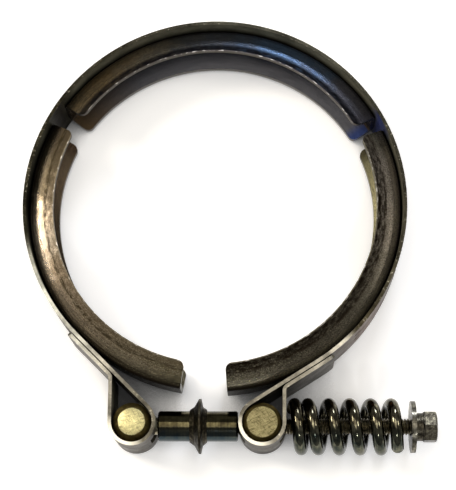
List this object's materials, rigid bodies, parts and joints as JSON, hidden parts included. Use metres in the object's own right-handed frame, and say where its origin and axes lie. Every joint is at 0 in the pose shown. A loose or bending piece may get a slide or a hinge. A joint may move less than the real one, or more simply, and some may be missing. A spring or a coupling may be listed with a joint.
{
  "type": "v band clamp",
  "caption": "Round V band clamp: a looped strap carries V-section retainers and is closed by a T-bolt with a spring and lock nut.",
  "frame": {"origin": "centre of the clamped ring, at half the strap's width", "axes": "+Z along the ring's axis; the clamping bolt lies along X on the -Y side, with its nut at +X"},
  "size_m": [0.1456, 0.156, 0.025],
  "materials": {
    "heat_tinted_strip": "rolled stainless, heat tinted brown",
    "heat_tinted_channel": "pressed stainless, heat tinted brown and blue",
    "bolt_steel": "turned steel, browned",
    "dark_cast_steel": "rough, oxidised",
    "spring_steel": "drawn wire, browned",
    "nut_steel": "plated steel, dulled"
  },
  "bodies": {
    "clamp_ring": {"strap": "heat_tinted_strip", "top_retainer": "heat_tinted_channel", "left_retainer": "heat_tinted_channel", "right_retainer": "heat_tinted_channel", "t_bolt": "bolt_steel", "spacer_sleeve": "bolt_steel", "conical_collar": "dark_cast_steel", "trunnion_pin": "bolt_steel", "compression_spring": "spring_steel"},
    "washer": {"thrust_washer": "bolt_steel"},
    "nut": {"lock_nut": "nut_steel"}
  },
  "joints": [
    {"name": "nut_travel", "type": "slide", "parent": "clamp_ring", "child": "washer", "axis": [-1, 0, 0], "range_m": [0, 0.009], "deforming": ["compression_spring"]},
    {"name": "nut_turn", "type": "hinge", "parent": "washer", "child": "nut", "pos_m": [0.07005, -0.078, 0], "axis": [-1, 0, 0], "range_deg": [0, 3240]}
  ],
  "couplings": [
    {"joint": "nut_turn", "follows": "nut_travel", "rad_per_m": 6283.2}
  ]
}
